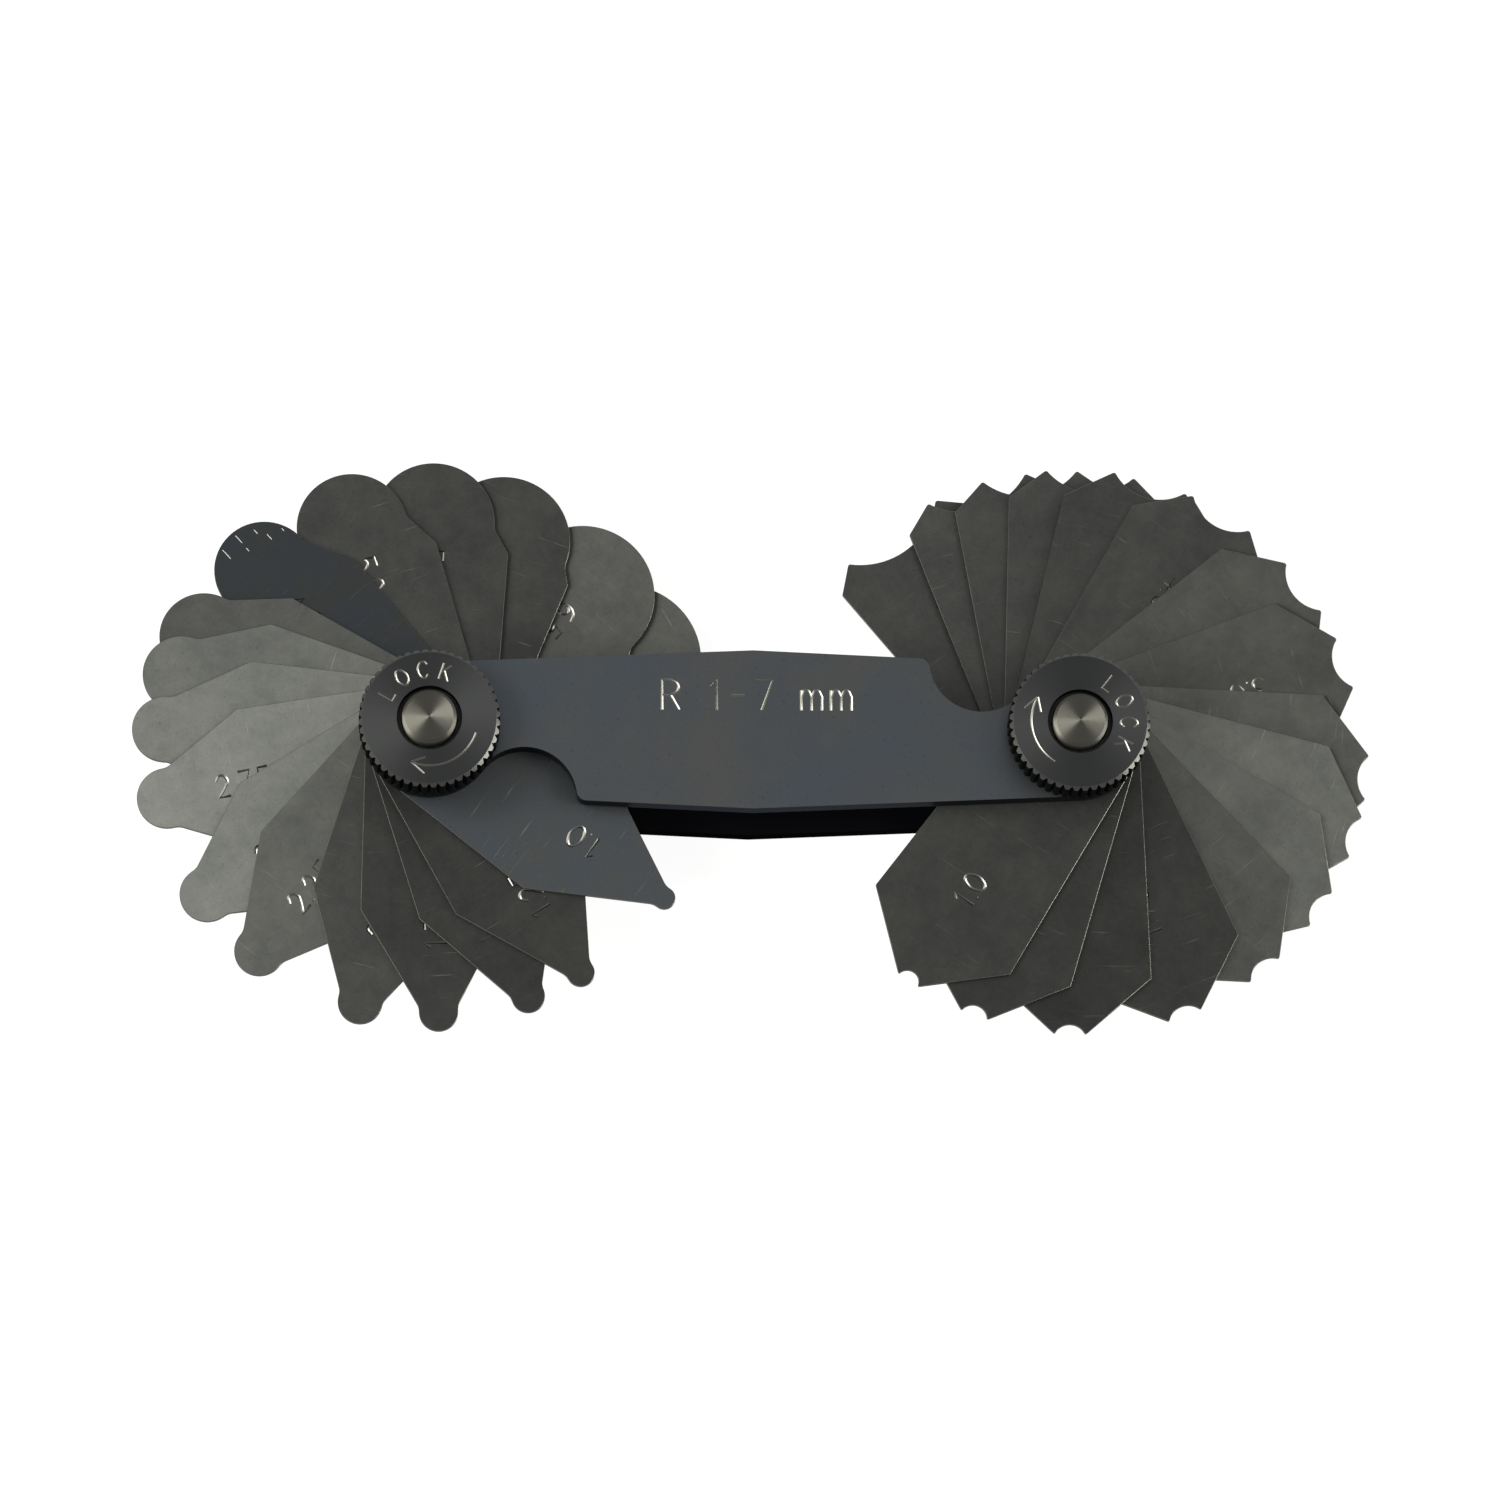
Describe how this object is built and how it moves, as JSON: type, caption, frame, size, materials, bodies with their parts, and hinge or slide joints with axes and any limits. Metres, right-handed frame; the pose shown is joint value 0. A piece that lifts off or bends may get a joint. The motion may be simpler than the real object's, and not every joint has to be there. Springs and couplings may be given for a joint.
{
  "type": "radius gauge",
  "caption": "Radius gauge: a flat holder with a fan of round-tipped steel leaves at one end and hollow-tipped leaves at the other, each fan clamped by a knurled knob.",
  "frame": {"origin": "centre of the rear plate's back face, midway between the two pivot studs", "axes": "+X along the holder from the convex fan's stud to the concave fan's stud, +Y across the holder, +Z out of the front plate towards the knobs"},
  "size_m": [0.1112, 0.0535, 0.0185],
  "materials": {
    "leaf_steel": "rolled steel leaf, satin, ground edges",
    "holder_plate": "satin plated steel plate, fine grain",
    "knob_steel": "turned and straight-knurled, satin plated",
    "stud_steel": "bright turned end",
    "washer_steel": "plain stamped washer"
  },
  "bodies": {
    "holder": {"rear_plate": "holder_plate", "front_plate": "holder_plate", "left_pivot_stud": "stud_steel", "right_pivot_stud": "stud_steel", "left_stack_washer": "washer_steel", "right_stack_washer": "washer_steel"},
    "convex_leaf_1_00": {"convex_leaf_1_00": "leaf_steel"},
    "convex_leaf_1_25": {"convex_leaf_1_25": "leaf_steel"},
    "convex_leaf_1_50": {"convex_leaf_1_50": "leaf_steel"},
    "convex_leaf_1_75": {"convex_leaf_1_75": "leaf_steel"},
    "convex_leaf_2_00": {"convex_leaf_2_00": "leaf_steel"},
    "convex_leaf_2_25": {"convex_leaf_2_25": "leaf_steel"},
    "convex_leaf_2_50": {"convex_leaf_2_50": "leaf_steel"},
    "convex_leaf_2_75": {"convex_leaf_2_75": "leaf_steel"},
    "convex_leaf_3_00": {"convex_leaf_3_00": "leaf_steel"},
    "convex_leaf_3_50": {"convex_leaf_3_50": "leaf_steel"},
    "convex_leaf_4_00": {"convex_leaf_4_00": "leaf_steel"},
    "convex_leaf_4_50": {"convex_leaf_4_50": "leaf_steel"},
    "convex_leaf_5_00": {"convex_leaf_5_00": "leaf_steel"},
    "convex_leaf_5_50": {"convex_leaf_5_50": "leaf_steel"},
    "convex_leaf_6_00": {"convex_leaf_6_00": "leaf_steel"},
    "convex_leaf_6_50": {"convex_leaf_6_50": "leaf_steel"},
    "convex_leaf_7_00": {"convex_leaf_7_00": "leaf_steel"},
    "concave_leaf_1_00": {"concave_leaf_1_00": "leaf_steel"},
    "concave_leaf_1_25": {"concave_leaf_1_25": "leaf_steel"},
    "concave_leaf_1_50": {"concave_leaf_1_50": "leaf_steel"},
    "concave_leaf_1_75": {"concave_leaf_1_75": "leaf_steel"},
    "concave_leaf_2_00": {"concave_leaf_2_00": "leaf_steel"},
    "concave_leaf_2_25": {"concave_leaf_2_25": "leaf_steel"},
    "concave_leaf_2_50": {"concave_leaf_2_50": "leaf_steel"},
    "concave_leaf_2_75": {"concave_leaf_2_75": "leaf_steel"},
    "concave_leaf_3_00": {"concave_leaf_3_00": "leaf_steel"},
    "concave_leaf_3_50": {"concave_leaf_3_50": "leaf_steel"},
    "concave_leaf_4_00": {"concave_leaf_4_00": "leaf_steel"},
    "concave_leaf_4_50": {"concave_leaf_4_50": "leaf_steel"},
    "concave_leaf_5_00": {"concave_leaf_5_00": "leaf_steel"},
    "concave_leaf_5_50": {"concave_leaf_5_50": "leaf_steel"},
    "concave_leaf_6_00": {"concave_leaf_6_00": "leaf_steel"},
    "concave_leaf_6_50": {"concave_leaf_6_50": "leaf_steel"},
    "concave_leaf_7_00": {"concave_leaf_7_00": "leaf_steel"},
    "left_knob_lift": {"left_knob_washer": "washer_steel"},
    "left_knob": {"left_lock_knob": "knob_steel"},
    "right_knob_lift": {"right_knob_washer": "washer_steel"},
    "right_knob": {"right_lock_knob": "knob_steel"}
  },
  "joints": [
    {"name": "convex_leaf_1_00_swing", "type": "hinge", "parent": "holder", "child": "convex_leaf_1_00", "pos_m": [-0.02888, 0, 0.007], "axis": [0, 0, 1], "continuous": true},
    {"name": "convex_leaf_1_25_swing", "type": "hinge", "parent": "holder", "child": "convex_leaf_1_25", "pos_m": [-0.02888, 0, 0.007], "axis": [0, 0, 1], "continuous": true},
    {"name": "convex_leaf_1_50_swing", "type": "hinge", "parent": "holder", "child": "convex_leaf_1_50", "pos_m": [-0.02888, 0, 0.007], "axis": [0, 0, 1], "continuous": true},
    {"name": "convex_leaf_1_75_swing", "type": "hinge", "parent": "holder", "child": "convex_leaf_1_75", "pos_m": [-0.02888, 0, 0.007], "axis": [0, 0, 1], "continuous": true},
    {"name": "convex_leaf_2_00_swing", "type": "hinge", "parent": "holder", "child": "convex_leaf_2_00", "pos_m": [-0.02888, 0, 0.007], "axis": [0, 0, 1], "continuous": true},
    {"name": "convex_leaf_2_25_swing", "type": "hinge", "parent": "holder", "child": "convex_leaf_2_25", "pos_m": [-0.02888, 0, 0.007], "axis": [0, 0, 1], "continuous": true},
    {"name": "convex_leaf_2_50_swing", "type": "hinge", "parent": "holder", "child": "convex_leaf_2_50", "pos_m": [-0.02888, 0, 0.007], "axis": [0, 0, 1], "continuous": true},
    {"name": "convex_leaf_2_75_swing", "type": "hinge", "parent": "holder", "child": "convex_leaf_2_75", "pos_m": [-0.02888, 0, 0.007], "axis": [0, 0, 1], "continuous": true},
    {"name": "convex_leaf_3_00_swing", "type": "hinge", "parent": "holder", "child": "convex_leaf_3_00", "pos_m": [-0.02888, 0, 0.007], "axis": [0, 0, 1], "continuous": true},
    {"name": "convex_leaf_3_50_swing", "type": "hinge", "parent": "holder", "child": "convex_leaf_3_50", "pos_m": [-0.02888, 0, 0.007], "axis": [0, 0, 1], "continuous": true},
    {"name": "convex_leaf_4_00_swing", "type": "hinge", "parent": "holder", "child": "convex_leaf_4_00", "pos_m": [-0.02888, 0, 0.007], "axis": [0, 0, 1], "continuous": true},
    {"name": "convex_leaf_4_50_swing", "type": "hinge", "parent": "holder", "child": "convex_leaf_4_50", "pos_m": [-0.02888, 0, 0.007], "axis": [0, 0, 1], "continuous": true},
    {"name": "convex_leaf_5_00_swing", "type": "hinge", "parent": "holder", "child": "convex_leaf_5_00", "pos_m": [-0.02888, 0, 0.007], "axis": [0, 0, 1], "continuous": true},
    {"name": "convex_leaf_5_50_swing", "type": "hinge", "parent": "holder", "child": "convex_leaf_5_50", "pos_m": [-0.02888, 0, 0.007], "axis": [0, 0, 1], "continuous": true},
    {"name": "convex_leaf_6_00_swing", "type": "hinge", "parent": "holder", "child": "convex_leaf_6_00", "pos_m": [-0.02888, 0, 0.007], "axis": [0, 0, 1], "continuous": true},
    {"name": "convex_leaf_6_50_swing", "type": "hinge", "parent": "holder", "child": "convex_leaf_6_50", "pos_m": [-0.02888, 0, 0.007], "axis": [0, 0, 1], "continuous": true},
    {"name": "convex_leaf_7_00_swing", "type": "hinge", "parent": "holder", "child": "convex_leaf_7_00", "pos_m": [-0.02888, 0, 0.007], "axis": [0, 0, 1], "continuous": true},
    {"name": "concave_leaf_1_00_swing", "type": "hinge", "parent": "holder", "child": "concave_leaf_1_00", "pos_m": [0.02888, 0, 0.007], "axis": [0, 0, 1], "continuous": true},
    {"name": "concave_leaf_1_25_swing", "type": "hinge", "parent": "holder", "child": "concave_leaf_1_25", "pos_m": [0.02888, 0, 0.007], "axis": [0, 0, 1], "continuous": true},
    {"name": "concave_leaf_1_50_swing", "type": "hinge", "parent": "holder", "child": "concave_leaf_1_50", "pos_m": [0.02888, 0, 0.007], "axis": [0, 0, 1], "continuous": true},
    {"name": "concave_leaf_1_75_swing", "type": "hinge", "parent": "holder", "child": "concave_leaf_1_75", "pos_m": [0.02888, 0, 0.007], "axis": [0, 0, 1], "continuous": true},
    {"name": "concave_leaf_2_00_swing", "type": "hinge", "parent": "holder", "child": "concave_leaf_2_00", "pos_m": [0.02888, 0, 0.007], "axis": [0, 0, 1], "continuous": true},
    {"name": "concave_leaf_2_25_swing", "type": "hinge", "parent": "holder", "child": "concave_leaf_2_25", "pos_m": [0.02888, 0, 0.007], "axis": [0, 0, 1], "continuous": true},
    {"name": "concave_leaf_2_50_swing", "type": "hinge", "parent": "holder", "child": "concave_leaf_2_50", "pos_m": [0.02888, 0, 0.007], "axis": [0, 0, 1], "continuous": true},
    {"name": "concave_leaf_2_75_swing", "type": "hinge", "parent": "holder", "child": "concave_leaf_2_75", "pos_m": [0.02888, 0, 0.007], "axis": [0, 0, 1], "continuous": true},
    {"name": "concave_leaf_3_00_swing", "type": "hinge", "parent": "holder", "child": "concave_leaf_3_00", "pos_m": [0.02888, 0, 0.007], "axis": [0, 0, 1], "continuous": true},
    {"name": "concave_leaf_3_50_swing", "type": "hinge", "parent": "holder", "child": "concave_leaf_3_50", "pos_m": [0.02888, 0, 0.007], "axis": [0, 0, 1], "continuous": true},
    {"name": "concave_leaf_4_00_swing", "type": "hinge", "parent": "holder", "child": "concave_leaf_4_00", "pos_m": [0.02888, 0, 0.007], "axis": [0, 0, 1], "continuous": true},
    {"name": "concave_leaf_4_50_swing", "type": "hinge", "parent": "holder", "child": "concave_leaf_4_50", "pos_m": [0.02888, 0, 0.007], "axis": [0, 0, 1], "continuous": true},
    {"name": "concave_leaf_5_00_swing", "type": "hinge", "parent": "holder", "child": "concave_leaf_5_00", "pos_m": [0.02888, 0, 0.007], "axis": [0, 0, 1], "continuous": true},
    {"name": "concave_leaf_5_50_swing", "type": "hinge", "parent": "holder", "child": "concave_leaf_5_50", "pos_m": [0.02888, 0, 0.007], "axis": [0, 0, 1], "continuous": true},
    {"name": "concave_leaf_6_00_swing", "type": "hinge", "parent": "holder", "child": "concave_leaf_6_00", "pos_m": [0.02888, 0, 0.007], "axis": [0, 0, 1], "continuous": true},
    {"name": "concave_leaf_6_50_swing", "type": "hinge", "parent": "holder", "child": "concave_leaf_6_50", "pos_m": [0.02888, 0, 0.007], "axis": [0, 0, 1], "continuous": true},
    {"name": "concave_leaf_7_00_swing", "type": "hinge", "parent": "holder", "child": "concave_leaf_7_00", "pos_m": [0.02888, 0, 0.007], "axis": [0, 0, 1], "continuous": true},
    {"name": "left_knob_lift", "type": "slide", "parent": "holder", "child": "left_knob_lift", "axis": [0, 0, 1], "range_m": [0, 0.0016]},
    {"name": "left_knob_turn", "type": "hinge", "parent": "left_knob_lift", "child": "left_knob", "pos_m": [-0.02888, 0, 0.016], "axis": [0, 0, 1], "range_deg": [0, 360]},
    {"name": "right_knob_lift", "type": "slide", "parent": "holder", "child": "right_knob_lift", "axis": [0, 0, 1], "range_m": [0, 0.0016]},
    {"name": "right_knob_turn", "type": "hinge", "parent": "right_knob_lift", "child": "right_knob", "pos_m": [0.02888, 0, 0.016], "axis": [0, 0, 1], "range_deg": [0, 360]}
  ],
  "couplings": [
    {"joint": "left_knob_lift", "follows": "left_knob_turn", "m_per_rad": 0.0001273},
    {"joint": "right_knob_lift", "follows": "right_knob_turn", "m_per_rad": 0.0001273}
  ]
}
